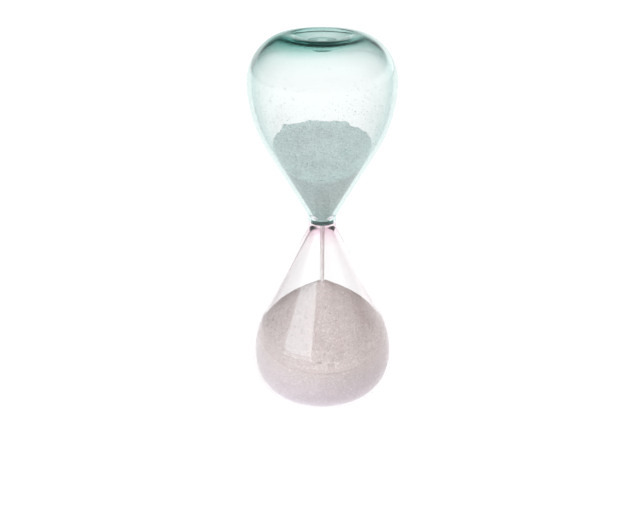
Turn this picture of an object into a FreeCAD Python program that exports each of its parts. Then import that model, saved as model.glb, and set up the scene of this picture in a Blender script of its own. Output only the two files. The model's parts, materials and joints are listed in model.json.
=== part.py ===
import FreeCAD, Part
import math
import os
import Sketcher

# A blown-glass hourglass that stands on its own end. Two bulbs are welded together at the neck,
# and each has a concave dimple in its end, so that it stands on the narrow land around the dimple.
# The origin is at the middle of that land on the lower bulb, and +Z is up along the axis.
#
# Everything inside a bulb is drawn in the bulb's own frame, where the weld is at height 0 and
# height grows towards the bulb's end. The upper bulb is then lifted, and the lower one is also
# turned over.

# Driving dimensions, in millimetres and degrees.
SIZES = {
    # both bulbs
    "neck_radius": 5.45,
    "waist_fillet": 3.6,
    "throat_radius": 2.9,
    "throat_fillet": 2.0,
    "land_width": 0.9,
    "lip_radius": 6.0,
    "dimple_radius": 24.0,
    # upper bulb, thick green glass
    "upper_length": 72.9,
    "upper_belly_radius": 28.5,
    "upper_belly_height": 55.2,
    "upper_cone_angle": 30.9,
    "upper_cone_foot": 3.85,
    "upper_crest_radius": 13.4,
    "upper_roll_radius": 11.9,
    "upper_cone_wall": 1.6,
    "upper_belly_wall": 1.7,
    "upper_end_wall": 2.1,
    # lower bulb, thinner pink glass
    "lower_length": 72.1,
    "lower_belly_radius": 27.4,
    "lower_belly_height": 55.1,
    "lower_cone_angle": 27.9,
    "lower_cone_foot": 4.05,
    "lower_crest_radius": 14.3,
    "lower_roll_radius": 8.8,
    "lower_cone_wall": 1.65,
    "lower_belly_wall": 0.9,
    "lower_end_wall": 0.9,
    # ring fused into the neck, whose hole meters the sand
    "orifice_radius": 1.0,
    "orifice_half_length": 0.8,
    # drop of glass that closes the filling hole in the upper dimple
    "filling_hole_radius": 2.2,
    "seal_radius": 5.4,
    "seal_rise": 0.8,
    "bead_radius": 3.6,
    "bead_rise": 0.6,
    # sand
    "sand_gap": 0.15,
    "sand_height": 26.4,
    "sand_tilt": 21.2,
    "heap_drop": 24.0,
    "heap_slope": 37.5,
    "heap_tilt": 10.3,
    "heap_top_radius": 1.2,
    "stream_radius": 0.9,
    "stream_end_radius": 0.72,
    "stream_clearance": 0.3,
}


class Size:
    """A number that also knows how the sheet works it out."""

    def __init__(self, value, text):
        self.value = value
        self.text = text

    def __add__(self, other):
        return Size(self.value + other.value, "(%s + %s)" % (self.text, other.text))

    def __sub__(self, other):
        return Size(self.value - other.value, "(%s - %s)" % (self.text, other.text))

    def __mul__(self, other):
        return Size(self.value * other.value, "(%s * %s)" % (self.text, other.text))

    def __truediv__(self, other):
        return Size(self.value / other.value, "(%s / %s)" % (self.text, other.text))


def size(name):
    """Look up a driving dimension."""
    return Size(SIZES[name], "Sizes." + name)


def cosine(angle):
    """Cosine of an angle in degrees."""
    return Size(math.cos(math.radians(angle.value)), "cos(%s * 1 deg)" % angle.text)


def root(amount):
    """Square root."""
    return Size(math.sqrt(amount.value), "sqrt(%s)" % amount.text)


NOTHING = Size(0.0, "0")

# Names for the ends of a sketch piece, and for a sketch's own origin and axes.
START, END, CENTRE = 1, 2, 3
ORIGIN = (-1, 1)
LEVEL_AXIS = -1
UPRIGHT_AXIS = -2


def fill_sheet(doc):
    """Write the driving dimensions into the sheet, one named cell each."""
    sheet = doc.addObject("Spreadsheet::Sheet", "Sizes")
    for row, (alias, value) in enumerate(SIZES.items(), start=1):
        sheet.set("A%d" % row, alias.replace("_", " "))
        sheet.set("B%d" % row, str(value))
        sheet.setAlias("B%d" % row, alias)
    doc.recompute()


class Outline:
    """A closed outline on a body's XZ plane: x is the radius and y is the height."""

    def __init__(self, body, role="XZ_Plane"):
        plane = next(item for item in body.Origin.OriginFeatures if item.Role == role)
        self.body = body
        self.sketch = body.newObject("Sketcher::SketchObject", body.Label + "_" + role[:2])
        self.sketch.AttachmentSupport = [(plane, "")]
        self.sketch.MapMode = "FlatFace"
        self.pen = None
        self.last = None

    def start(self, across, up):
        """Put the pen down at a point that joins nothing yet."""
        self.pen = (across, up)
        self.last = None

    def add(self, geometry, ends, smooth):
        """Add a piece and join it to the one before it, with a common tangent if it is smooth."""
        index = self.sketch.addGeometry(geometry, False)
        if self.last:
            self.rule("Tangent" if smooth else "Coincident", *self.last, index, ends[0])
        self.last = (index, ends[1])
        return index

    def line(self, across, up, smooth=False):
        """Draw a straight line to a point."""
        start = FreeCAD.Vector(*self.pen, 0)
        self.pen = (across, up)
        geometry = Part.LineSegment(start, FreeCAD.Vector(across, up, 0))
        return self.add(geometry, (START, END), smooth)

    def arc(self, centre, angle, smooth=True):
        """Draw an arc about a centre to an angle in radians."""
        across = self.pen[0] - centre[0]
        up = self.pen[1] - centre[1]
        radius = math.hypot(across, up)
        start = math.atan2(up, across)
        self.pen = (centre[0] + radius * math.cos(angle), centre[1] + radius * math.sin(angle))
        circle = Part.Circle(FreeCAD.Vector(*centre, 0), FreeCAD.Vector(0, 0, 1), radius)
        if angle > start:
            return self.add(Part.ArcOfCircle(circle, start, angle), (START, END), smooth)
        return self.add(Part.ArcOfCircle(circle, angle, start), (END, START), smooth)

    def bridge(self, first, second):
        """Draw a straight line between the ends of two pieces."""
        geometry = Part.LineSegment(self.sketch.getPoint(*first), self.sketch.getPoint(*second))
        index = self.sketch.addGeometry(geometry, False)
        self.rule("Coincident", *first, index, START)
        self.rule("Coincident", *second, index, END)
        return index

    def rule(self, kind, *items):
        """Add a constraint that has no size."""
        return self.sketch.addConstraint(Sketcher.Constraint(kind, *items))

    def bind(self, kind, *items, to):
        """Add a constraint whose size comes from the sheet."""
        index = self.rule(kind, *items, to.value)
        self.sketch.setExpression("Constraints[%d]" % index, to.text)

    def set_across(self, piece, end, distance):
        """Fix how far an end of a piece is from the upright axis."""
        if distance is NOTHING:
            self.rule("PointOnObject", piece, end, UPRIGHT_AXIS)
        else:
            self.bind("DistanceX", *ORIGIN, piece, end, to=distance)

    def set_up(self, piece, end, height):
        """Fix how high an end of a piece is above the weld."""
        if height is NOTHING:
            self.rule("PointOnObject", piece, end, LEVEL_AXIS)
        else:
            self.bind("DistanceY", *ORIGIN, piece, end, to=height)

    def turn(self):
        """Turn the outline all the way round the upright axis."""
        feature = self.body.newObject("PartDesign::Revolution", self.body.Label + "_turned")
        feature.Profile = self.sketch
        feature.ReferenceAxis = (self.sketch, ["V_Axis"])
        feature.Angle = 360.0
        self.body.Tip = feature


class Skin:
    """One surface of a bulb's glass, or of what fills the bulb, at a depth inside the glass.

    From the axis it runs through a dimple arc and a lip arc to the flat land, then through a roll
    arc and a shoulder arc to the upright belly, and through a long arc, a straight cone and a
    fillet to the cylinder at the neck. Each stretch is tangent to the next.
    """

    def __init__(self, which, end_depth=NOTHING, belly_depth=NOTHING, cone_depth=NOTHING):
        self.angle = size(which + "_cone_angle")
        self.crest = size(which + "_crest_radius")
        self.land_inner = self.crest - size("land_width")
        self.height = size(which + "_length") - end_depth
        self.dimple = size("dimple_radius") + end_depth
        self.lip = size("lip_radius") - end_depth
        reach = self.dimple + self.lip
        rise = root(reach * reach - self.land_inner * self.land_inner)
        self.dimple_centre = self.height - self.lip + rise
        self.roll = size(which + "_roll_radius") - end_depth
        self.belly = size(which + "_belly_radius") - belly_depth
        self.belly_height = size(which + "_belly_height")
        self.foot = size(which + "_cone_foot") - cone_depth / cosine(self.angle)

    def dimple_height(self, across):
        """Height of the dimple at a distance from the axis."""
        return self.dimple_centre - root(self.dimple * self.dimple - across * across)

    def draw(self, outline, hole, fillet, neck, stop):
        """Draw it from the edge of a hole in the dimple to a stop in the neck; return both ends."""
        dimple, lip = self.draw_dimple(outline, hole)
        shoulder = self.draw_shoulder(outline)
        cone, bend, cylinder = self.draw_neck(outline, fillet, neck, stop)
        self.constrain_dimple(outline, dimple, lip, hole)
        self.constrain_shoulder(outline, shoulder)
        self.constrain_neck(outline, cone, bend, cylinder, fillet, neck, stop)
        return (dimple, START), (cylinder, END)

    def draw_dimple(self, outline, hole):
        """Draw the dimple and the lip."""
        lip_centre = (self.land_inner.value, self.height.value - self.lip.value)
        dimple_centre = (0.0, self.dimple_centre.value)
        lip_angle = math.atan2(dimple_centre[1] - lip_centre[1], -lip_centre[0])
        outline.start(hole.value, self.dimple_height(hole).value)
        dimple = outline.arc(dimple_centre, lip_angle - math.pi)
        lip = outline.arc(lip_centre, math.pi / 2)
        return dimple, lip

    def constrain_dimple(self, outline, dimple, lip, hole):
        """Tie the dimple and the lip to the sheet."""
        outline.set_across(dimple, START, hole)
        outline.set_across(dimple, CENTRE, NOTHING)
        outline.bind("Radius", dimple, to=self.dimple)
        outline.set_across(lip, CENTRE, self.land_inner)
        outline.bind("Radius", lip, to=self.lip)

    def draw_shoulder(self, outline):
        """Draw the land, the roll, the shoulder and the long arc below the belly."""
        angle = math.radians(self.angle.value)
        roll_centre = (self.crest.value, self.height.value - self.roll.value)
        overhang = self.belly.value - self.crest.value
        climb = roll_centre[1] - self.belly_height.value
        bend = self.roll.value ** 2 - overhang ** 2 - climb ** 2
        shoulder_radius = bend / (2 * (self.roll.value - overhang))
        shoulder_centre = (self.belly.value - shoulder_radius, self.belly_height.value)
        roll_angle = math.atan2(climb, roll_centre[0] - shoulder_centre[0])
        cone_at_belly = self.foot.value + self.belly_height.value * math.tan(angle)
        belly_arc_radius = (cone_at_belly - self.belly.value) / (1 / math.cos(angle) - 1)
        land = outline.line(self.crest.value, self.height.value, smooth=True)
        roll = outline.arc(roll_centre, roll_angle)
        shoulder = outline.arc(shoulder_centre, 0.0)
        outline.arc((self.belly.value - belly_arc_radius, self.belly_height.value), -angle)
        return land, roll, shoulder

    def constrain_shoulder(self, outline, pieces):
        """Tie the land, the roll and the belly to the sheet."""
        land, roll, shoulder = pieces
        outline.rule("Horizontal", land)
        outline.set_across(land, END, self.crest)
        outline.set_up(land, END, self.height)
        outline.bind("Radius", roll, to=self.roll)
        outline.set_across(shoulder, START, self.belly)
        outline.set_up(shoulder, START, self.belly_height)
        outline.set_up(shoulder, CENTRE, self.belly_height)

    def draw_neck(self, outline, fillet, neck, stop):
        """Draw the cone, the fillet and the cylinder."""
        angle = math.radians(self.angle.value)
        centre_across = neck.value + fillet.value
        level = (centre_across - self.foot.value) / math.tan(angle)
        centre = (centre_across, level - fillet.value / math.sin(angle))
        cone_across = centre_across - fillet.value * math.cos(angle)
        cone_up = centre[1] + fillet.value * math.sin(angle)
        cone = outline.line(cone_across, cone_up, smooth=True)
        bend = outline.arc(centre, math.pi)
        cylinder = outline.line(neck.value, stop.value, smooth=True)
        return cone, bend, cylinder

    def constrain_neck(self, outline, cone, bend, cylinder, fillet, neck, stop):
        """Tie the cone, the fillet and the cylinder to the sheet."""
        direction = Size(-math.radians(90 + self.angle.value), "-(90 + %s) * 1 deg" % self.angle.text)
        outline.bind("Angle", cone, to=direction)
        foot_point = Part.Point(FreeCAD.Vector(self.foot.value, 0, 0))
        mark = outline.sketch.addGeometry(foot_point, True)
        outline.rule("PointOnObject", mark, START, cone)
        outline.set_across(mark, START, self.foot)
        outline.set_up(mark, START, NOTHING)
        outline.bind("Radius", bend, to=fillet)
        outline.rule("Vertical", cylinder)
        outline.set_across(cylinder, END, neck)
        outline.set_up(cylinder, END, stop)


def add_body(doc, label):
    """Start a sub-part whose Label names its file."""
    body = doc.addObject("PartDesign::Body", label)
    body.Label = label
    return body


def set_in_bulb(item, which):
    """Move a piece from a bulb's own frame to where that bulb stands."""
    turned_over = 180 if which == "lower" else 0
    rotation = FreeCAD.Rotation(FreeCAD.Vector(1, 0, 0), turned_over)
    item.Placement = FreeCAD.Placement(FreeCAD.Vector(0, 0, SIZES["lower_length"]), rotation)
    item.setExpression("Placement.Base.z", "Sizes.lower_length")


def add_bulb(doc, which, hole):
    """A blown bulb, open at the weld, with a hole in its dimple or none."""
    body = add_body(doc, which + "_bulb")
    outline = Outline(body)
    outer = Skin(which)
    walls = [size(which + "_" + name) for name in ("end_wall", "belly_wall", "cone_wall")]
    inner = Skin(which, *walls)
    outer_ends = outer.draw(outline, hole, size("waist_fillet"), size("neck_radius"), NOTHING)
    inner_ends = inner.draw(outline, hole, size("throat_fillet"), size("throat_radius"), NOTHING)
    outline.bridge(outer_ends[0], inner_ends[0])
    outline.bridge(outer_ends[1], inner_ends[1])
    outline.turn()
    set_in_bulb(body, which)
    return body


def add_filling(doc, which, label, stop):
    """A body that fills a bulb's cavity up to a stop in the neck, with a small gap to the glass."""
    body = add_body(doc, label)
    outline = Outline(body)
    gap = size("sand_gap")
    walls = [size(which + "_" + name) + gap for name in ("end_wall", "belly_wall", "cone_wall")]
    skin = Skin(which, *walls)
    neck = size("throat_radius") - gap
    first, last = skin.draw(outline, NOTHING, size("throat_fillet") + gap, neck, stop)
    floor = outline.line(0.0, stop.value)
    outline.rule("Horizontal", floor)
    outline.set_across(floor, END, NOTHING)
    outline.bridge((floor, END), first)
    outline.turn()
    return body


def add_orifice_ring(doc):
    """A short glass ring fused into the neck, half in each bulb."""
    outside = doc.addObject("Part::Cylinder", "orifice_outside")
    hole = doc.addObject("Part::Cylinder", "orifice_hole")
    outside.setExpression("Radius", "Sizes.throat_radius")
    hole.setExpression("Radius", "Sizes.orifice_radius")
    for cylinder in (outside, hole):
        cylinder.setExpression("Height", "2 * Sizes.orifice_half_length")
    ring = doc.addObject("Part::Cut", "orifice_ring")
    ring.Base = outside
    ring.Tool = hole
    ring.Label = "orifice_ring"
    ring.setExpression("Placement.Base.z", "Sizes.lower_length - Sizes.orifice_half_length")
    return ring


def dome_centre(peak, across, up):
    """Centre of the arc that is level at a peak on the axis and ends at a point."""
    rise = up.value - peak.value
    return (0.0, peak.value + (across.value ** 2 + rise ** 2) / (2 * rise))


def heading(centre, across, up):
    """Angle from a centre to a point, in radians."""
    return math.atan2(up.value - centre[1], across.value - centre[0])


def add_fill_seal(doc):
    """A drop of glass melted into the filling hole, with a bead inside the bulb and a cap outside."""
    body = add_body(doc, "fill_seal")
    outline = Outline(body)
    outer = Skin("upper")
    inner = Skin("upper", size("upper_end_wall"))
    hole, cap, bead = size("filling_hole_radius"), size("seal_radius"), size("bead_radius")
    cap_top = outer.dimple_height(NOTHING) + size("seal_rise")
    cap_rim = outer.dimple_height(cap)
    bead_bottom = inner.dimple_height(NOTHING) - size("bead_rise")
    bead_rim = inner.dimple_height(bead)
    cap_centre = dome_centre(cap_top, cap, cap_rim)
    bead_centre = dome_centre(bead_bottom, bead, bead_rim)
    outer_centre = (0.0, outer.dimple_centre.value)
    inner_centre = (0.0, inner.dimple_centre.value)

    outline.start(0.0, cap_top.value)
    top = outline.arc(cap_centre, heading(cap_centre, cap, cap_rim), False)
    under_cap = outline.arc(outer_centre, heading(outer_centre, hole, outer.dimple_height(hole)), False)
    plug = outline.line(hole.value, inner.dimple_height(hole).value)
    over_bead = outline.arc(inner_centre, heading(inner_centre, bead, bead_rim), False)
    bottom = outline.arc(bead_centre, heading(bead_centre, NOTHING, bead_bottom), False)
    outline.bridge((bottom, START), (top, END))

    for piece in (top, under_cap, over_bead, bottom):
        outline.set_across(piece, CENTRE, NOTHING)
    for piece, skin in ((under_cap, outer), (over_bead, inner)):
        outline.set_up(piece, CENTRE, skin.dimple_centre)
        outline.bind("Radius", piece, to=skin.dimple)
    outline.set_across(top, END, NOTHING)
    outline.set_up(top, END, cap_top)
    outline.set_across(under_cap, END, cap)
    outline.rule("Vertical", plug)
    outline.set_across(plug, START, hole)
    outline.set_across(over_bead, END, bead)
    outline.set_across(bottom, START, NOTHING)
    outline.set_up(bottom, START, bead_bottom)
    outline.turn()
    set_in_bulb(body, "upper")
    return body


def add_upper_sand(doc):
    """The sand still to run: a funnel that ends on the orifice ring, under a sloping surface."""
    body = add_filling(doc, "upper", "upper_sand", size("orifice_half_length"))
    cut = Outline(body, "YZ_Plane")
    reach = SIZES["upper_belly_radius"]
    slope = math.radians(SIZES["sand_tilt"])
    level = SIZES["sand_height"]
    low = level - reach * math.tan(slope)
    high = level + reach * math.tan(slope)
    cut.start(-reach, low)
    surface = cut.line(reach, high)
    back = cut.line(reach, SIZES["upper_length"])
    ceiling = cut.line(-reach, SIZES["upper_length"])
    front = cut.bridge((ceiling, END), (surface, START))
    cut.rule("Vertical", front)
    cut.rule("Vertical", back)
    cut.set_across(back, START, size("upper_belly_radius"))
    cut.set_up(back, END, size("upper_length"))
    cut.rule("Symmetric", ceiling, START, ceiling, END, UPRIGHT_AXIS)
    cut.bind("Angle", surface, to=Size(slope, "Sizes.sand_tilt * 1 deg"))
    mark = cut.sketch.addGeometry(Part.Point(FreeCAD.Vector(0, level, 0)), True)
    cut.rule("PointOnObject", mark, START, surface)
    cut.set_across(mark, START, NOTHING)
    cut.set_up(mark, START, size("sand_height"))
    pocket = body.newObject("PartDesign::Pocket", "upper_sand_surface")
    pocket.Profile = cut.sketch
    pocket.Type = "ThroughAll"
    pocket.Midplane = True
    body.Tip = pocket
    set_in_bulb(body, "upper")
    return body


def add_lower_sand(doc):
    """The sand that has run: it fills the end of the bulb under a heap that leans back."""
    filling = add_filling(doc, "lower", "lower_filling", NOTHING)
    heap = doc.addObject("Part::Cone", "heap")
    heap.setExpression("Radius1", "Sizes.heap_top_radius")
    spread = "Sizes.lower_length / tan(Sizes.heap_slope * 1 deg)"
    heap.setExpression("Radius2", "Sizes.heap_top_radius + %s" % spread)
    heap.setExpression("Height", "Sizes.lower_length")
    heap.Placement = FreeCAD.Placement(
        FreeCAD.Vector(0, 0, SIZES["heap_drop"]),
        FreeCAD.Rotation(FreeCAD.Vector(1, 0, 0), SIZES["heap_tilt"]))
    heap.setExpression("Placement.Base.z", "Sizes.heap_drop")
    heap.setExpression("Placement.Rotation.Angle", "Sizes.heap_tilt * 1 deg")
    sand = doc.addObject("Part::Common", "lower_sand")
    sand.Base = filling
    sand.Tool = heap
    sand.Label = "lower_sand"
    set_in_bulb(sand, "lower")
    return sand


def add_sand_stream(doc):
    """The falling thread of sand, from inside the orifice to just above the heap."""
    stream = doc.addObject("Part::Cone", "sand_stream")
    stream.Label = "sand_stream"
    stream.setExpression("Radius1", "Sizes.stream_end_radius")
    stream.setExpression("Radius2", "Sizes.stream_radius")
    fall = "Sizes.heap_drop - Sizes.stream_clearance"
    stream.setExpression("Height", "%s + Sizes.orifice_half_length" % fall)
    stream.setExpression("Placement.Base.z", "Sizes.lower_length - (%s)" % fall)
    return stream


def check(doc, parts):
    """Stop if any object failed to recompute, or if a sub-part is not one valid solid."""
    for item in doc.Objects:
        if {"Invalid", "Error"} & set(item.State):
            raise RuntimeError("%s failed: %s" % (item.Label, item.State))
    for part in parts:
        shape = part.Shape
        if shape.isNull() or not shape.isValid() or len(shape.Solids) != 1:
            raise RuntimeError("%s is not one valid solid" % part.Label)


def main():
    doc = FreeCAD.newDocument("hourglass")
    fill_sheet(doc)
    parts = [
        add_bulb(doc, "upper", size("filling_hole_radius")),
        add_bulb(doc, "lower", NOTHING),
        add_orifice_ring(doc),
        add_fill_seal(doc),
        add_upper_sand(doc),
        add_sand_stream(doc),
        add_lower_sand(doc),
    ]
    doc.recompute()
    check(doc, parts)
    os.makedirs("parts", exist_ok=True)
    for part in parts:
        part.Shape.exportStep("parts/%s.step" % part.Label)
        box = part.Shape.BoundBox
        print("%-14s volume %9.1f mm3, z %6.1f to %6.1f mm"
              % (part.Label, part.Shape.Volume, box.ZMin, box.ZMax))


main()
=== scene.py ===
"""A blown-glass hourglass: its glass, sand and falling stream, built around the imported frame."""
import json
import math
import random

import bpy
from mathutils import Matrix, Vector, noise

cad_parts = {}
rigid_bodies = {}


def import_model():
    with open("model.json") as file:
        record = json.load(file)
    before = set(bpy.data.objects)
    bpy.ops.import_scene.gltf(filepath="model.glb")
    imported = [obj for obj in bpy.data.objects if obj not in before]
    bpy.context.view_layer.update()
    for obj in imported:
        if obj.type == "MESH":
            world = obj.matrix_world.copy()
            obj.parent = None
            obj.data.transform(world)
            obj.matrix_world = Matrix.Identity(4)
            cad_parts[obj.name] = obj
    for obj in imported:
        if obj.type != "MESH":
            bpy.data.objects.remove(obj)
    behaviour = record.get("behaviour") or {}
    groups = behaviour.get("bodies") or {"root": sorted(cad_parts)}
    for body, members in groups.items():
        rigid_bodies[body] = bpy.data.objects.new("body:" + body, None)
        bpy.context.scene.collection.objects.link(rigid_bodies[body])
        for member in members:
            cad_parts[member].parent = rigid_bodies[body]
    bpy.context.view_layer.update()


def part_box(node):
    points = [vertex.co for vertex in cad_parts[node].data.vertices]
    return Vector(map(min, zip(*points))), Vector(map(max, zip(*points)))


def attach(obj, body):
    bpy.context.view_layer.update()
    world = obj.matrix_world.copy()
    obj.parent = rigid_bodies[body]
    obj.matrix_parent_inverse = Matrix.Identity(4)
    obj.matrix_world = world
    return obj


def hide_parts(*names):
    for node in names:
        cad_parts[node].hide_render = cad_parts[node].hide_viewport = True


MM = 0.001
BULB_SEGMENTS = 224
LIGHT_BOUNCES = 160     # light runs a long way inside the walls of the bulbs

# ---------------------------------------------------------------------------
# The frame, and the sizes that the frame's boxes don't show
# ---------------------------------------------------------------------------

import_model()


class BulbSizes:
    """Sizes of one bulb's section, in metres, in the bulb's own frame.

    The weld is at height 0, and height grows towards the bulb's end.
    """

    def __init__(self, node, cone_angle, cone_foot, belly_height, crest, roll, walls):
        low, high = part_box(node)
        self.length = high.z - low.z
        self.belly = high.x
        self.cone_angle = math.radians(cone_angle)
        self.cone_foot = cone_foot * MM
        self.belly_height = belly_height * MM
        self.crest = crest * MM
        self.roll = roll * MM
        self.end_wall, self.belly_wall, self.cone_wall = (wall * MM for wall in walls)


UPPER = BulbSizes("upper_bulb", cone_angle=30.9, cone_foot=3.85, belly_height=55.2,
                  crest=13.4, roll=11.9, walls=(2.1, 1.7, 1.6))
LOWER = BulbSizes("lower_bulb", cone_angle=27.9, cone_foot=4.05, belly_height=55.1,
                  crest=14.3, roll=8.8, walls=(0.9, 0.9, 1.65))
WELD_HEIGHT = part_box("lower_bulb")[1].z
NECK_RADIUS = 5.45 * MM
WAIST_FILLET = 3.6 * MM
THROAT_RADIUS = 2.9 * MM
THROAT_FILLET = 2.0 * MM
LAND_WIDTH = 0.9 * MM
LIP_RADIUS = 6.0 * MM
DIMPLE_RADIUS = 24.0 * MM
FILLING_HOLE = 2.2 * MM
SEAL_CAP = 5.4 * MM         # radii of the seal's cap outside and its bead inside
SEAL_BEAD = 3.6 * MM
SEAL_CAP_RISE = 0.8 * MM
SEAL_BEAD_RISE = 0.6 * MM
ORIFICE_RADIUS = 1.0 * MM
ORIFICE_HALF_LENGTH = 0.8 * MM
STREAM_RADIUS = 0.9 * MM
STREAM_END_RADIUS = 0.72 * MM
SAND_GAP = 0.12 * MM


# ---------------------------------------------------------------------------
# Sections
# ---------------------------------------------------------------------------

def arc_points(centre, radius, start, end, step=math.radians(2.0), longest=0.6 * MM):
    """Points along an arc, from just after its start to its end."""
    turns = abs(end - start)
    count = max(3, math.ceil(turns / step), math.ceil(turns * radius / longest))
    angles = [start + (end - start) * i / count for i in range(1, count + 1)]
    return [(centre[0] + radius * math.cos(a), centre[1] + radius * math.sin(a)) for a in angles]


def straight_points(start, end, longest=0.8 * MM):
    """Points along a straight stretch, from just after its start to its end."""
    count = max(1, math.ceil(math.dist(start, end) / longest))
    return [(start[0] + (end[0] - start[0]) * i / count, start[1] + (end[1] - start[1]) * i / count)
            for i in range(1, count + 1)]


class Skin:
    """One surface of a bulb's glass, or of the sand in it, at a depth inside the glass."""

    def __init__(self, bulb, inside=False, gap=0.0):
        self.bulb = bulb
        end_depth = bulb.end_wall + gap if inside else 0.0
        belly_depth = bulb.belly_wall + gap if inside else 0.0
        cone_depth = bulb.cone_wall + gap if inside else 0.0
        self.neck = THROAT_RADIUS - gap if inside else NECK_RADIUS
        self.fillet = THROAT_FILLET + gap if inside else WAIST_FILLET
        self.height = bulb.length - end_depth
        self.land_inner = bulb.crest - LAND_WIDTH
        self.dimple = DIMPLE_RADIUS + end_depth
        self.lip = LIP_RADIUS - end_depth
        self.roll = bulb.roll - end_depth
        self.belly = bulb.belly - belly_depth
        self.foot = bulb.cone_foot - cone_depth / math.cos(bulb.cone_angle)
        reach = self.dimple + self.lip
        rise = math.sqrt(reach ** 2 - self.land_inner ** 2)
        self.dimple_centre = self.height - self.lip + rise

    def dimple_height(self, across):
        """Height of the dimple at a distance from the axis."""
        return self.dimple_centre - math.sqrt(self.dimple ** 2 - across ** 2)

    def points(self, hole=0.0):
        """The whole section, from a hole in the dimple, or the axis, to the weld."""
        bulb = self.bulb
        lean = bulb.cone_angle
        lip_centre = (self.land_inner, self.height - self.lip)
        lip_angle = math.atan2(self.dimple_centre - lip_centre[1], -lip_centre[0])
        hole_angle = math.atan2(self.dimple_height(hole) - self.dimple_centre, hole)
        roll_centre = (bulb.crest, self.height - self.roll)
        overhang = self.belly - bulb.crest
        climb = roll_centre[1] - bulb.belly_height
        shoulder = (self.roll ** 2 - overhang ** 2 - climb ** 2) / (2 * (self.roll - overhang))
        shoulder_centre = (self.belly - shoulder, bulb.belly_height)
        roll_angle = math.atan2(climb, roll_centre[0] - shoulder_centre[0])
        swell = (self.foot + bulb.belly_height * math.tan(lean) - self.belly) / (1 / math.cos(lean) - 1)
        swell_centre = (self.belly - swell, bulb.belly_height)
        across = self.neck + self.fillet
        up = (across - self.foot) / math.tan(lean) - self.fillet / math.sin(lean)
        cone_end = (across - self.fillet * math.cos(lean), up + self.fillet * math.sin(lean))

        points = [(hole, self.dimple_height(hole))]
        points += arc_points((0.0, self.dimple_centre), self.dimple, hole_angle, lip_angle - math.pi)
        points += arc_points(lip_centre, self.lip, lip_angle, math.pi / 2)
        points += straight_points(points[-1], (bulb.crest, self.height))
        points += arc_points(roll_centre, self.roll, math.pi / 2, roll_angle)
        points += arc_points(shoulder_centre, shoulder, roll_angle, 0.0)
        points += arc_points(swell_centre, swell, 0.0, -lean)
        points += straight_points(points[-1], cone_end)
        points += arc_points((across, up), self.fillet, math.pi - lean, math.pi)
        points += straight_points(points[-1], (self.neck, 0.0))
        return points


class WallRadius:
    """Radius of the space that sand can fill, at each height between the weld and the end."""

    def __init__(self, bulb):
        section = Skin(bulb, inside=True, gap=SAND_GAP).points()
        highest = max(range(len(section)), key=lambda i: section[i][1])
        self.section = section
        self.side = section[highest:][::-1]

    def at(self, height):
        """Radius at a height."""
        for (r0, z0), (r1, z1) in zip(self.side, self.side[1:]):
            if height <= z1:
                share = (height - z0) / max(z1 - z0, 1e-9)
                return r0 + (r1 - r0) * min(1.0, max(0.0, share))
        return self.side[-1][0]


# ---------------------------------------------------------------------------
# Meshes
# ---------------------------------------------------------------------------

def to_world(bulb, x, y, height):
    """A point of a bulb's own frame in the row frame: the lower bulb hangs from the weld."""
    return (x, y, WELD_HEIGHT + height if bulb is UPPER else WELD_HEIGHT - height)


def new_mesh(name, vertices, faces, sharp=math.radians(38)):
    """An object from vertices and faces, shaded smooth but for edges sharper than an angle."""
    mesh = bpy.data.meshes.new(name)
    mesh.from_pydata(vertices, [], faces)
    mesh.validate()
    mesh.update()
    piece = bpy.data.objects.new(name, mesh)
    bpy.context.scene.collection.objects.link(piece)
    mesh.shade_smooth()
    mesh.set_sharp_from_angle(angle=sharp)
    return piece


def ring_faces(rings, segments, closed):
    """Quads between rings of vertices, and triangles to a ring that is a single point."""
    faces = []
    pairs = list(zip(rings, rings[1:]))
    if closed:
        pairs.append((rings[-1], rings[0]))
    for below, above in pairs:
        for j in range(segments):
            k = (j + 1) % segments
            if len(below) == 1:
                faces.append((below[0], above[k], above[j]))
            elif len(above) == 1:
                faces.append((below[j], below[k], above[0]))
            else:
                faces.append((below[j], below[k], above[k], above[j]))
    return faces


def lathe(name, bulb, section, segments, closed=False, wobble=None):
    """Turn a section round the axis. wobble moves a point (x, y, height) of the bulb's frame."""
    vertices = []
    rings = []
    for radius, height in section:
        count = segments if radius > 1e-7 else 1
        ring = []
        for j in range(count):
            angle = 2 * math.pi * j / segments
            point = (radius * math.cos(angle), radius * math.sin(angle), height)
            if wobble:
                point = wobble(*point)
            ring.append(len(vertices))
            vertices.append(to_world(bulb, *point))
        rings.append(ring)
    faces = ring_faces(rings, segments, closed)
    return orient(new_mesh(name, vertices, faces))


def orient(piece):
    """Turn a closed mesh's faces outwards."""
    mesh = piece.data
    mesh.calc_loop_triangles()
    volume = 0.0
    for triangle in mesh.loop_triangles:
        a, b, c = (mesh.vertices[i].co for i in triangle.vertices)
        volume += a.dot(b.cross(c))
    if volume < 0:
        mesh.flip_normals()
    return piece


# ---------------------------------------------------------------------------
# Glass
# ---------------------------------------------------------------------------

WANDER_LENGTH = 0.034       # how far apart the swells in the hand-blown glass lie
BULB_RADIUS = 0.028         # a round figure for both bulbs


def hand_blown(seed, depth):
    """A wobble that pulls the glass in by up to a depth, as hand-blown glass wanders from round."""
    offset = Vector((seed, 3.1 * seed, 7.7 * seed))

    def move(x, y, height):
        swing = noise.noise(Vector((x, y, height)) / WANDER_LENGTH + offset)
        shrink = 1 - depth * (0.5 + 0.5 * swing) / BULB_RADIUS
        return (x * shrink, y * shrink, height)

    return move


def add_bulb(name, bulb, hole, seed):
    """A bulb: its outer skin down to the weld, and its inner skin back."""
    outer = Skin(bulb).points(hole)
    inner = Skin(bulb, inside=True).points(hole)
    section = outer + inner[::-1]
    closed = hole > 0
    return lathe(name, bulb, section, BULB_SEGMENTS, closed, hand_blown(seed, 0.12 * MM))


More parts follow.
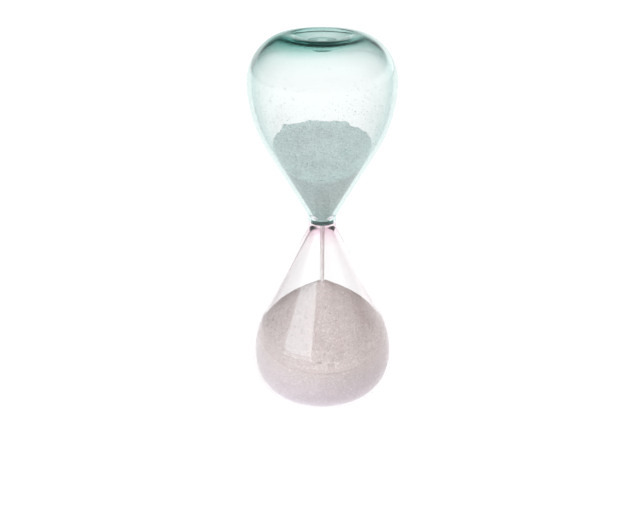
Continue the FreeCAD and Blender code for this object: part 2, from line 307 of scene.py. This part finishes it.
def add_fill_seal():
    """The drop of glass in the filling hole: a cap outside, a plug and a bead inside."""
    outer = Skin(UPPER)
    inner = Skin(UPPER, inside=True)
    cap_rim = outer.dimple_height(SEAL_CAP)
    cap_top = outer.dimple_height(0) + SEAL_CAP_RISE
    bead_rim = inner.dimple_height(SEAL_BEAD)
    bead_bottom = inner.dimple_height(0) - SEAL_BEAD_RISE
    steps = 24
    section = []
    for i in range(steps + 1):
        share = i / steps
        section.append((SEAL_CAP * math.sin(share * math.pi / 2),
                        cap_rim + (cap_top - cap_rim) * math.cos(share * math.pi / 2)))
    section += [(r, outer.dimple_height(r)) for r in (4.2 * MM, 3.1 * MM, FILLING_HOLE)]
    section += straight_points(section[-1], (FILLING_HOLE, inner.dimple_height(FILLING_HOLE)))
    section += [(r, inner.dimple_height(r)) for r in (2.8 * MM, SEAL_BEAD)]
    for i in range(1, steps + 1):
        share = i / steps
        section.append((SEAL_BEAD * math.cos(share * math.pi / 2),
                        bead_rim - (bead_rim - bead_bottom) * math.sin(share * math.pi / 2)))
    return lathe("fill_seal_drop", UPPER, section, 96)


def add_orifice_ring():
    """The glass ring in the neck, rounded where the sand runs in and out."""
    low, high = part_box("orifice_ring")
    half = (high.z - low.z) / 2
    section = [(THROAT_RADIUS, -half), (THROAT_RADIUS, half)]
    section += straight_points(section[-1], (ORIFICE_RADIUS + half, half))
    section += arc_points((ORIFICE_RADIUS + half, 0.0), half, math.pi / 2, 1.5 * math.pi)
    section += straight_points(section[-1], (THROAT_RADIUS, -half))[:-1]
    return lathe("orifice_ring_glass", UPPER, section, 96, closed=True)


# ---------------------------------------------------------------------------
# Sand
# ---------------------------------------------------------------------------

def grain(x, y, z, size, offset=0.0):
    """Noise between -1 and 1 with bumps of about a size."""
    return noise.noise(Vector((x, y, z)) / size + Vector((offset, offset, offset)))


def rough(x, y, coarse, fine):
    """Height of a loose sand surface's lumps and grains."""
    lumps = coarse * (grain(x, y, 0, 6.5 * MM) + 0.5 * grain(x, y, 0, 2.6 * MM, 5.0))
    grains = fine * (grain(x, y, 0, 0.62 * MM, 9.0) + 0.8 * grain(x, y, 0, 0.34 * MM, 2.0))
    return lumps + grains


SAND_LEVEL = 26.5 * MM
SAND_RISE_TO_BACK = 0.388
SAND_TROUGH = 5.1
SAND_BACK_DIP = 3.7     # the surface levels off towards the back wall
STUCK_RISE = 1.1 * MM
STUCK_LEFT = math.radians(-50)      # the stuck sand's ends, as angles from the back
STUCK_RIGHT = math.radians(31)
STUCK_STEP = math.radians(4)
CRATER_DEPTH = 0.9 * MM
CRATER_RADIUS = 6.0 * MM


def upper_surface(x, y):
    """Height of the upper sand's free surface, which slopes down to the front."""
    radius = math.hypot(x, y)
    crater = CRATER_DEPTH * math.exp(-(radius / CRATER_RADIUS) ** 2)
    slope = SAND_RISE_TO_BACK * y - SAND_BACK_DIP * max(0.0, y) ** 2
    return SAND_LEVEL + slope + SAND_TROUGH * x * x - crater


HEAP_TOP = 23.5 * MM
HEAP_SIDE_SLOPE = 0.773
HEAP_LEAN = 0.2965
HEAP_FRONT_SWELL = 0.0375
HEAP_ROUND = 1.9 * MM


def lower_surface(x, y):
    """Height below the weld of the heap's surface, which is steeper at the front."""
    radius = math.sqrt(x * x + y * y + HEAP_ROUND ** 2)
    slope = HEAP_SIDE_SLOPE * radius - HEAP_LEAN * y + HEAP_FRONT_SWELL * y * y / radius
    return HEAP_TOP + slope


def stuck_sand(angle):
    """Extra height of the sand that is stuck to the wall at the back, with a step at each end."""
    from_back = math.atan2(math.cos(angle), math.sin(angle))
    left_step = min(1.0, max(0.0, (from_back - STUCK_LEFT) / STUCK_STEP))
    right_step = min(1.0, max(0.0, (STUCK_RIGHT - from_back) / STUCK_STEP))
    return STUCK_RISE * (left_step * right_step)


def contact(wall, surface, angle, low, high):
    """Height at which a free surface meets the wall, in one direction from the axis."""
    for _ in range(30):
        middle = (low + high) / 2
        radius = wall.at(middle)
        above = surface(radius * math.cos(angle), radius * math.sin(angle)) < middle
        if above:
            high = middle
        else:
            low = middle
    return (low + high) / 2


SIDE_STEPS = 90
EDGE_BLEND = 14         # how sharply the surface turns up to meet its ragged edge
GRAIN_FADE = 10


def add_sand_body(name, bulb, surface, buried, azimuths, free_rings, roughness, jag):
    """A body of sand: a rough free surface, and a side that follows the wall.

    buried gives the section from the wall contact to the axis, away from the free surface.
    """
    wall = WallRadius(bulb)
    coarse, fine = roughness
    contacts = []
    for j in range(azimuths):
        angle = 2 * math.pi * j / azimuths
        height = contact(wall, surface, angle, 8 * MM, 62 * MM)
        ragged = jag * (grain(math.cos(angle), math.sin(angle), 0, 0.16)
                        + 0.7 * grain(math.cos(angle), math.sin(angle), 1, 0.05))
        stuck = stuck_sand(angle) if bulb is UPPER else 0.0
        contacts.append(height + ragged + stuck)

    vertices = []
    ring_list = []
    for i in range(free_rings + 1):
        share = i / free_rings
        ring = []
        count = azimuths if i else 1
        for j in range(count):
            angle = 2 * math.pi * j / azimuths
            edge = wall.at(contacts[j])
            radius = edge * share
            x = radius * math.cos(angle)
            y = radius * math.sin(angle)
            blend = share ** EDGE_BLEND
            height = surface(x, y) * (1 - blend) + contacts[j] * blend
            height += rough(x, y, coarse, fine) * (1 - share ** GRAIN_FADE)
            ring.append(len(vertices))
            vertices.append(to_world(bulb, x, y, height))
        ring_list.append(ring)
    for i in range(1, SIDE_STEPS + 1):
        share = i / SIDE_STEPS
        ring = []
        for j in range(azimuths):
            angle = 2 * math.pi * j / azimuths
            radius, height = buried(wall, contacts[j], share)
            ring.append(len(vertices))
            vertices.append(to_world(bulb, radius * math.cos(angle), radius * math.sin(angle), height))
        ring_list.append(ring)
    ring_list.append([len(vertices)])
    _, height = buried(wall, contacts[0], 1.0)
    vertices.append(to_world(bulb, 0.0, 0.0, height))
    piece = orient(new_mesh(name, vertices, ring_faces(ring_list, azimuths, False)))
    # The share of the way down the side against the glass, which the material uses for the packed sand's
    # tint and its painted light.
    packed_and_painted_light = piece.data.attributes.new("packed_and_painted_light", "FLOAT", "POINT")
    for index, ring in enumerate(ring_list[free_rings + 1:], start=1):
        for vertex in ring:
            packed_and_painted_light.data[vertex].value = index / SIDE_STEPS
    return piece


def to_orifice(wall, start, share):
    """The upper sand's side: down the wall to the orifice ring, then in to the axis."""
    height = start + (ORIFICE_HALF_LENGTH - start) * share
    return wall.at(height), height


SIDE_SHARE = 0.62       # the part of the lower sand's side that lies above the end of the bulb


def to_dimple(wall, start, share):
    """The lower sand's side: down the wall, round the roll and over the dimple to the axis."""
    path = wall.section[::-1]
    peak = max(range(len(path)), key=lambda i: path[i][1])
    if share <= SIDE_SHARE:
        top = path[peak][1]
        height = start + (top - start) * math.sin(share / SIDE_SHARE * math.pi / 2)
        return wall.at(height), height
    inner = path[peak:]
    spot = (share - SIDE_SHARE) / (1 - SIDE_SHARE) * (len(inner) - 1)
    index = min(int(spot), len(inner) - 2)
    part = spot - index
    (r0, z0), (r1, z1) = inner[index], inner[index + 1]
    return r0 + (r1 - r0) * part, z0 + (z1 - z0) * part


def add_sand_stream():
    """The falling thread: it thins as it speeds up, and its edge is ragged with grains."""
    top = -ORIFICE_HALF_LENGTH
    end = HEAP_TOP + 1.6 * MM
    steps = 260
    section = []
    for i in range(steps + 1):
        share = i / steps
        radius = STREAM_END_RADIUS + (STREAM_RADIUS - STREAM_END_RADIUS) * (1 - share) ** 1.5
        section.append((radius, top + (end - top) * share))
    section = [(0.0, section[0][1])] + section + [(0.0, section[-1][1])]

    def ragged(x, y, height):
        radius = math.hypot(x, y)
        if radius < 1e-7:
            return (x, y, height)
        push = 0.05 * MM * grain(x, y, height, 0.4 * MM) + 0.04 * MM * grain(x, y, height, 1.3 * MM, 4.0)
        inside_ring = height < 1.0 * MM
        scale = 1.0 if inside_ring else 1 + push / radius
        return (x * scale, y * scale, height)

    return lathe("sand_stream_thread", LOWER, section, 28, wobble=ragged)


def unit_grain():
    """Vertices and faces of a small faceted ball."""
    golden = (1 + math.sqrt(5)) / 2
    corners = []
    for a in (-1, 1):
        for b in (-golden, golden):
            corners += [(0, a, b), (a, b, 0), (b, 0, a)]
    points = [Vector(c).normalized() for c in corners]
    edge = min((points[0] - p).length for p in points[1:])
    faces = []
    for i in range(12):
        for j in range(i + 1, 12):
            for k in range(j + 1, 12):
                sides = ((i, j), (j, k), (i, k))
                if all((points[a] - points[b]).length < edge * 1.1 for a, b in sides):
                    centre = points[i] + points[j] + points[k]
                    normal = (points[j] - points[i]).cross(points[k] - points[i])
                    faces.append((i, j, k) if normal.dot(centre) > 0 else (i, k, j))
    return points, faces


def add_grains(name, places, picker):
    """Many small faceted grains in one mesh. places holds (x, y, z, radius) in the row frame."""
    points, faces = unit_grain()
    vertices = []
    all_faces = []
    for x, y, z, radius in places:
        squash = [picker.uniform(0.75, 1.15) for _ in range(3)]
        angle = picker.uniform(0, 2 * math.pi)
        axis = Vector((picker.random(), 1, picker.random()))
        turn = Matrix.Rotation(angle, 3, axis)
        base = len(vertices)
        for p in points:
            q = turn @ Vector((p.x * squash[0], p.y * squash[1], p.z * squash[2])) * radius
            vertices.append((x + q.x, y + q.y, z + q.z))
        all_faces += [(a + base, b + base, c + base) for a, b, c in faces]
    piece = new_mesh(name, vertices, all_faces)
    piece.data.shade_flat()
    return piece


def surface_grains(bulb, surface, count, picker, reach):
    """Places of single grains that stand on a free surface."""
    wall = WallRadius(bulb)
    upwards = 1 if bulb is UPPER else -1
    places = []
    while len(places) < count:
        angle = picker.uniform(0, 2 * math.pi)
        radius = reach * math.sqrt(picker.random())
        x, y = radius * math.cos(angle), radius * math.sin(angle)
        height = surface(x, y)
        size = picker.uniform(0.13, 0.25) * MM
        if radius < wall.at(height) - 3 * size:
            places.append((*to_world(bulb, x, y, height + upwards * 0.4 * size), size))
    return places


def clinging_grains(count, picker):
    """Places of the grains that cling to the upper bulb's wall above the sand."""
    wall = WallRadius(UPPER)
    places = []
    while len(places) < count:
        angle = picker.uniform(0, 2 * math.pi)
        height = picker.triangular(30 * MM, 56 * MM, 38 * MM)
        edge = wall.at(height)
        if height < upper_surface(edge * math.cos(angle), edge * math.sin(angle)) + MM:
            continue
        size = picker.uniform(0.09, 0.19) * MM
        radius = edge + SAND_GAP - size
        places.append((*to_world(UPPER, radius * math.cos(angle), radius * math.sin(angle), height), size))
    return places


# ---------------------------------------------------------------------------
# Materials
# ---------------------------------------------------------------------------

def node_material(name):
    """An empty node material and its tree."""
    material = bpy.data.materials.new(name)
    material.use_nodes = True
    material.node_tree.nodes.clear()
    return material, material.node_tree


def add_node(tree, kind, **values):
    """Add a node, and set its properties and sockets by name."""
    node = tree.nodes.new(kind)
    for key, value in values.items():
        if hasattr(node, key):
            setattr(node, key, value)
        else:
            node.inputs[key.replace("_", " ")].default_value = value
    return node


def colour_product(tree, first, second):
    """The product of two colours."""
    product = add_node(tree, "ShaderNodeMix", data_type="RGBA", blend_type="MULTIPLY")
    product.inputs[0].default_value = 1.0
    tree.links.new(first, product.inputs[6])
    tree.links.new(second, product.inputs[7])
    return product.outputs[2]


def weld_mask(tree, place):
    """1 on the flat faces where the two bulbs are fused, and 0 on all other glass."""
    axes = add_node(tree, "ShaderNodeSeparateXYZ")
    tree.links.new(place, axes.inputs[0])
    near = add_node(tree, "ShaderNodeMath", operation="COMPARE")
    tree.links.new(axes.outputs["Z"], near.inputs[0])
    near.inputs[1].default_value = WELD_HEIGHT
    near.inputs[2].default_value = 0.00001
    return near.outputs[0]


def glass_material(name, absorbed, density, striae, tints, edge, lean):
    """Clear glass that takes up colour with depth, with faint striae, and lets lamps light the sand.

    tints are (height in metres, colour) stops: blown glass is deeper in colour where it is gathered. The
    darkest bands, at the upper bulb's crest and just below the weld in the lower bulb, are partly that and
    partly painted dark reflection.
    edge is its colour as one looks more and more along the wall: (how much, colour) stops.
    lean tips the bands of tint: the deep colour comes lower on the left and at the front.
    """
    material, tree = node_material(name)
    link = tree.links.new
    place = add_node(tree, "ShaderNodeTexCoord")
    waves = add_node(tree, "ShaderNodeTexNoise", Scale=striae, Detail=2.0, Roughness=0.4)
    link(place.outputs["Object"], waves.inputs["Vector"])
    bump = add_node(tree, "ShaderNodeBump", Strength=0.06, Distance=0.0006)
    link(waves.outputs["Fac"], bump.inputs["Height"])
    glass = add_node(tree, "ShaderNodeBsdfPrincipled", Roughness=0.0, IOR=1.47)
    low, high = tints[0][0], tints[-1][0]
    height = add_node(tree, "ShaderNodeMapRange")
    height.inputs["From Min"].default_value = low
    height.inputs["From Max"].default_value = high
    tipped = add_node(tree, "ShaderNodeVectorMath", operation="DOT_PRODUCT")
    link(place.outputs["Object"], tipped.inputs[0])
    tipped.inputs[1].default_value = (-lean[0], -lean[1], 1.0)
    link(tipped.outputs["Value"], height.inputs["Value"])
    tint = ramp(tree, [((z - low) / (high - low), colour) for z, colour in tints])
    link(height.outputs["Result"], tint.inputs[0])
    facing = add_node(tree, "ShaderNodeLayerWeight", Blend=0.5)
    deepen = ramp(tree, [(0.0, grey(1.0)), *edge])
    link(facing.outputs["Facing"], deepen.inputs[0])
    link(colour_product(tree, tint.outputs[0], deepen.outputs[0]), glass.inputs["Base Color"])
    glass.inputs["Transmission Weight"].default_value = 1.0
    link(bump.outputs["Normal"], glass.inputs["Normal"])
    clear = add_node(tree, "ShaderNodeBsdfTransparent")
    path = add_node(tree, "ShaderNodeLightPath")
    passing = add_node(tree, "ShaderNodeMath", operation="MAXIMUM")
    link(path.outputs["Is Shadow Ray"], passing.inputs[0])
    link(weld_mask(tree, place.outputs["Object"]), passing.inputs[1])
    mix = add_node(tree, "ShaderNodeMixShader")
    link(passing.outputs[0], mix.inputs[0])
    link(glass.outputs[0], mix.inputs[1])
    link(clear.outputs[0], mix.inputs[2])
    depth = add_node(tree, "ShaderNodeVolumeAbsorption", Density=density)
    depth.inputs["Color"].default_value = (*absorbed, 1)
    out = add_node(tree, "ShaderNodeOutputMaterial")
    link(mix.outputs[0], out.inputs["Surface"])
    link(depth.outputs[0], out.inputs["Volume"])
    return material


def grey(level):
    """A grey colour."""
    return (level, level, level)


def ramp(tree, stops):
    """A colour ramp from (position, colour) stops."""
    node = tree.nodes.new("ShaderNodeValToRGB")
    for element, (position, colour) in zip(node.color_ramp.elements, (stops[0], stops[-1])):
        element.position = position
        element.color = (*colour, 1)
    for position, colour in stops[1:-1]:
        element = node.color_ramp.elements.new(position)
        element.color = (*colour, 1)
    return node


def sand_material(name, dark, middle, light, packed_and_painted_light, grain_size, bump_depth):
    """Fine sand: grains in several tones, soft patches and a bumpy surface.

    It tints the sand that lies against the glass, by (share of the way down the side, colour) stops. The
    tint is partly the paler look of sand pressed flat against the glass and partly painted light and shade:
    the lower heap's sand is painted much lighter towards the bottom, where the glowing table lies under it,
    and the upper sand's side is darker.
    """
    material, tree = node_material(name)
    link = tree.links.new
    place = add_node(tree, "ShaderNodeTexCoord")
    cells = add_node(tree, "ShaderNodeTexVoronoi", Scale=1 / grain_size)
    link(place.outputs["Object"], cells.inputs["Vector"])
    split = add_node(tree, "ShaderNodeSeparateColor")
    link(cells.outputs["Color"], split.inputs[0])
    tones = ramp(tree, [(0.0, dark), (0.3, middle), (0.8, middle), (1.0, light)])
    link(split.outputs[0], tones.inputs[0])
    patches = add_node(tree, "ShaderNodeTexNoise", Scale=260.0, Detail=3.0)
    link(place.outputs["Object"], patches.inputs["Vector"])
    shade = ramp(tree, [(0.35, grey(0.95)), (0.65, grey(1.0))])
    link(patches.outputs["Fac"], shade.inputs[0])
    # Painted light: the sand against the glass is tinted by how far down the side it lies.
    against_glass = add_node(tree, "ShaderNodeAttribute", attribute_name="packed_and_painted_light")
    tint = ramp(tree, [(0.0, grey(1.0)), *packed_and_painted_light])
    link(against_glass.outputs["Fac"], tint.inputs[0])
    colour = colour_product(tree, colour_product(tree, tones.outputs[0], shade.outputs[0]), tint.outputs[0])
    gloss = ramp(tree, [(0.0, grey(0.95)), (0.86, grey(0.85)), (1.0, grey(0.35))])
    link(split.outputs[1], gloss.inputs[0])
    bump = add_node(tree, "ShaderNodeBump", Strength=0.7, Distance=bump_depth)
    link(cells.outputs["Distance"], bump.inputs["Height"])
    bump.invert = True
    sand = add_node(tree, "ShaderNodeBsdfPrincipled")
    link(colour, sand.inputs["Base Color"])
    link(gloss.outputs[0], sand.inputs["Roughness"])
    link(bump.outputs["Normal"], sand.inputs["Normal"])
    out = add_node(tree, "ShaderNodeOutputMaterial")
    link(sand.outputs[0], out.inputs["Surface"])
    return material


# ---------------------------------------------------------------------------
# Studio
# ---------------------------------------------------------------------------

def add_camera():
    """The camera looks a little down at the weld, which sits above the picture's middle."""
    distance = 583 * MM
    elevation = math.radians(18.5)
    target = Vector((0, 0, WELD_HEIGHT))
    camera = bpy.data.objects.new("camera", bpy.data.cameras.new("camera"))
    bpy.context.scene.collection.objects.link(camera)
    camera.location = target + Vector((0, -math.cos(elevation), math.sin(elevation))) * distance
    camera.rotation_euler = (math.pi / 2 - elevation, 0, 0)
    camera.data.sensor_width = 36
    camera.data.lens = 85
    camera.data.shift_x = -0.0036
    camera.data.shift_y = -0.055
    camera.data.clip_start = 0.01
    bpy.context.scene.camera = camera


def blend_factor(tree, value, low, high):
    """A smooth step of a value: 0 below low, 1 above high."""
    step = add_node(tree, "ShaderNodeMapRange", interpolation_type="SMOOTHSTEP")
    step.inputs["From Min"].default_value = low
    step.inputs["From Max"].default_value = high
    tree.links.new(value, step.inputs["Value"])
    return step.outputs["Result"]


def multiply(tree, first, second):
    """The product of two values."""
    product = add_node(tree, "ShaderNodeMath", operation="MULTIPLY")
    tree.links.new(first, product.inputs[0])
    tree.links.new(second, product.inputs[1])
    return product.outputs[0]


def add_world():
    """A dim room round a bright table: darkest overhead and on the left, paler behind the camera."""
    world = bpy.data.worlds.new("studio")
    bpy.context.scene.world = world
    world.use_nodes = True
    tree = world.node_tree
    tree.nodes.clear()
    link = tree.links.new
    place = add_node(tree, "ShaderNodeTexCoord")
    axes = add_node(tree, "ShaderNodeSeparateXYZ")
    link(place.outputs["Generated"], axes.inputs[0])
    height = ramp(tree, [(0.0, grey(0.95)), (0.16, grey(0.85)), (0.21, grey(0.42)), (0.25, grey(0.20)),
                         (0.31, grey(0.14)), (0.37, grey(0.012)), (1.0, grey(0.02))])
    link(axes.outputs["Z"], height.inputs[0])
    side = add_node(tree, "ShaderNodeMapRange")
    side.inputs["From Min"].default_value = -0.6
    side.inputs["From Max"].default_value = 0.6
    side.inputs["To Min"].default_value = 0.6
    side.inputs["To Max"].default_value = 1.4
    link(axes.outputs["X"], side.inputs["Value"])
    room = multiply(tree, height.outputs[0], side.outputs["Result"])
    behind = blend_factor(tree, axes.outputs["Y"], -0.4, 0.1)
    in_front = blend_factor(tree, axes.outputs["Y"], 0.1, -0.4)
    front_height = ramp(tree, [(0.0, grey(0.85)), (0.25, grey(0.5)), (0.6, grey(0.35)), (1.0, grey(0.3))])
    link(axes.outputs["Z"], front_height.inputs[0])
    total = add_node(tree, "ShaderNodeMath", operation="ADD")
    link(multiply(tree, room, behind), total.inputs[0])
    link(multiply(tree, front_height.outputs[0], in_front), total.inputs[1])
    background = add_node(tree, "ShaderNodeBackground")
    background.inputs["Color"].default_value = (1, 1, 1, 1)
    link(total.outputs[0], background.inputs["Strength"])
    out = add_node(tree, "ShaderNodeOutputWorld")
    link(background.outputs[0], out.inputs[0])


def add_softbox(name, azimuth, half_angle, radiance, lit):
    """A tall softbox in front, azimuth to the left, that is reflected by the pieces that it lights."""
    distance = 1.0
    low, high = 0.03, 1.05
    data = bpy.data.lights.new(name, "AREA")
    data.shape = "RECTANGLE"
    data.size = 2 * distance * math.tan(half_angle)
    data.size_y = high - low
    data.color = (0.86, 0.97, 1.0)
    data.energy = radiance * math.pi * data.size * data.size_y
    light = bpy.data.objects.new(name, data)
    bpy.context.scene.collection.objects.link(light)
    light.location = (-distance * math.sin(azimuth), -distance * math.cos(azimuth), (low + high) / 2)
    light.rotation_euler = (math.pi / 2, 0, -azimuth)
    group = bpy.data.collections.new(name + "_lights")
    for piece in lit:
        group.objects.link(piece)
    light.light_linking.receiver_collection = group


def add_sky_light():
    """Broad soft light from above, in front and a little to the left."""
    data = bpy.data.lights.new("overhead", "SUN")
    data.energy = 2.8
    data.angle = math.radians(80)
    light = bpy.data.objects.new("overhead", data)
    bpy.context.scene.collection.objects.link(light)
    light.rotation_euler = Vector((-0.55, 0.34, -0.76)).to_track_quat("-Z", "Y").to_euler()
    light.visible_glossy = False
    light.visible_transmission = False


def add_floor():
    """A wide white table top that glows like a light table: painted light, brightest near the object, where
    it hides the object's shadow, and fading into the room far from it.
    """
    half = 4.0
    corners = [(-half, -half, 0), (half, -half, 0), (half, half, 0), (-half, half, 0)]
    floor = new_mesh("floor", corners, [(0, 1, 2, 3)])
    material, tree = node_material("table_top")
    link = tree.links.new
    place = add_node(tree, "ShaderNodeTexCoord")
    distance = add_node(tree, "ShaderNodeVectorMath", operation="LENGTH")
    link(place.outputs["Object"], distance.inputs[0])
    share = add_node(tree, "ShaderNodeMath", operation="DIVIDE")
    share.inputs[1].default_value = half
    link(distance.outputs["Value"], share.inputs[0])
    tone = ramp(tree, [(0.0, grey(0.25)), (0.28, grey(0.25)), (1.0, grey(0.30))])
    # Painted light: the table top's own glow, brightest near the object.
    glow = ramp(tree, [(0.0, grey(0.88)), (0.28, grey(0.88)), (0.6, grey(0.72)), (1.0, grey(0.60))])
    link(share.outputs[0], tone.inputs[0])
    link(share.outputs[0], glow.inputs[0])
    surface = add_node(tree, "ShaderNodeBsdfPrincipled", Roughness=0.7)
    surface.inputs["Emission Strength"].default_value = 1.0
    link(tone.outputs[0], surface.inputs["Base Color"])
    link(glow.outputs[0], surface.inputs["Emission Color"])
    out = add_node(tree, "ShaderNodeOutputMaterial")
    link(surface.outputs[0], out.inputs["Surface"])
    floor.data.materials.append(material)


# ---------------------------------------------------------------------------
# The object
# ---------------------------------------------------------------------------

def finish_piece(piece, material, slot, *replaced):
    """Give a piece its material and body, and hide the nodes that it stands for. slot is not used."""
    piece.data.materials.append(material)
    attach(piece, "root")
    if replaced:
        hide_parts(*replaced)


def add_hourglass():
    """All of the hourglass's pieces."""
    picker = random.Random(11)
    # The last stops paint the crest deep teal: partly the thick end of the bulb, partly painted dark
    # reflection.
    green = glass_material("green_blown_glass", (0.25, 0.65, 0.617), 24.0, 60.0,
                           tints=[(0.0721, (0.88, 0.97, 0.95)), (0.082, (0.97, 0.975, 0.975)),
                                  (0.12, (0.965, 0.965, 0.965)), (0.132, (0.985, 0.995, 0.993)),
                                  (0.138, (0.965, 0.99, 0.985)), (0.1425, (0.89, 0.975, 0.96)),
                                  (0.1448, (0.52, 0.85, 0.79)), (0.1465, (0.13, 0.47, 0.41))],
                           edge=[(0.2, (0.96, 0.968, 0.966)), (0.42, (0.87, 0.915, 0.905)),
                                 (0.62, (0.67, 0.785, 0.765)), (1.0, (0.34, 0.60, 0.56))],
                           lean=(0.07, 0.09))
    # The stop just below the weld deepens the pink: partly the thick neck, partly painted dark reflection.
    pink = glass_material("pink_blown_glass", (0.75, 0.3, 0.6), 3.5, 50.0,
                          tints=[(0.0, (1.0, 0.98, 0.99)), (0.02, (1.0, 1.0, 1.0)),
                                 (0.055, (1.0, 1.0, 1.0)), (0.064, (1.0, 0.98, 0.985)),
                                 (0.069, (0.90, 0.76, 0.82)), (0.0721, (0.97, 0.90, 0.92))],
                          edge=[(0.3, (0.995, 0.99, 0.993)), (0.62, (0.96, 0.93, 0.945)),
                                (0.85, (0.86, 0.77, 0.81)), (1.0, (0.55, 0.42, 0.48))],
                          lean=(0.0, 0.0))
    neck = glass_material("green_neck_glass", (0.1, 0.45, 0.42), 500.0, 60.0,
                          tints=[(0.070, (0.22, 0.42, 0.38)), (0.076, (0.22, 0.42, 0.38))],
                          edge=[(1.0, (0.50, 0.70, 0.66))],
                          lean=(0.0, 0.0))
    # Painted light: the first side stops are the paler look of packed sand, and the later ones paint the
    # heap much lighter towards the bottom, as the glowing table under it would light it.
    sand = sand_material("fine_sand", (0.455, 0.372, 0.357), (0.555, 0.452, 0.437), (0.74, 0.67, 0.65),
                         [(0.07, (1.0, 1.02, 1.06)), (0.28, (1.07, 1.12, 1.23)), (0.42, (1.50, 1.70, 1.88)),
                          (1.0, (1.80, 2.13, 2.24))], 0.30 * MM, 0.15 * MM)
    falling = sand_material("falling_sand", (0.56, 0.50, 0.49), (0.68, 0.60, 0.59), (0.85, 0.79, 0.78),
                            [(1.0, grey(1.0))], 0.30 * MM, 0.15 * MM)
    # Painted light: the upper sand is the same sand, coloured with the green of the light that comes
    # through the upper bulb. Its side against the glass is darker.
    green_lit = sand_material("fine_sand_in_green_light", (0.46, 0.52, 0.51), (0.69, 0.775, 0.765),
                              (0.95, 0.99, 0.98), [(0.08, (0.77, 0.76, 0.76)), (1.0, (0.80, 0.78, 0.77))],
                              0.36 * MM, 0.3 * MM)
    # Painted shade: the grains that cling to the glass are the same sand, coloured darker because they are
    # seen against the bright light behind them.
    shaded_specks = sand_material("grains_on_glass_painted_dark", (0.30, 0.34, 0.33), (0.50, 0.55, 0.54), (0.95, 0.98, 0.97),
                           [(1.0, grey(1.0))], 0.30 * MM, 0.15 * MM)
    finish_piece(add_bulb("upper_bulb_glass", UPPER, FILLING_HOLE, 1), green, "green_glass", "upper_bulb")
    finish_piece(add_bulb("lower_bulb_glass", LOWER, 0.0, 2), pink, "pink_glass", "lower_bulb")
    finish_piece(add_orifice_ring(), neck, "green_glass", "orifice_ring")
    finish_piece(add_fill_seal(), green, "green_glass", "fill_seal")
    upper_sand = add_sand_body("upper_sand_grains", UPPER, upper_surface, to_orifice,
                               420, 130, (0.28 * MM, 0.09 * MM), 0.55 * MM)
    finish_piece(upper_sand, green_lit, "sand", "upper_sand")
    lower_sand = add_sand_body("lower_sand_heap", LOWER, lower_surface, to_dimple,
                               520, 170, (0.10 * MM, 0.05 * MM), 0.12 * MM)
    finish_piece(lower_sand, sand, "sand", "lower_sand")
    finish_piece(add_sand_stream(), falling, "sand", "sand_stream")
    loose = surface_grains(UPPER, upper_surface, 900, picker, 20 * MM)
    finish_piece(add_grains("upper_loose_grains", loose, picker), green_lit, "sand")
    loose = surface_grains(LOWER, lower_surface, 1400, picker, 25 * MM)
    finish_piece(add_grains("lower_loose_grains", loose, picker), sand, "sand")
    finish_piece(add_grains("clinging_grains", clinging_grains(620, picker), picker), shaded_specks, "sand")


add_hourglass()
add_floor()
add_world()
# A flag keeps the softboxes off the upper bulb's glass, so that no window shows in it.
away_from_flag = [item for item in bpy.context.scene.objects if item.name != "upper_bulb_glass"]
add_softbox("key_softbox", math.radians(42.5), math.radians(24.6), 2.7, away_from_flag)
add_softbox("fill_softbox", math.radians(-56), math.radians(20), 0.4, away_from_flag)
add_sky_light()
add_camera()
bpy.context.scene.view_settings.view_transform = "Standard"
bpy.context.scene.cycles.max_bounces = LIGHT_BOUNCES
bpy.context.scene.cycles.transmission_bounces = LIGHT_BOUNCES
bpy.context.scene.cycles.glossy_bounces = LIGHT_BOUNCES
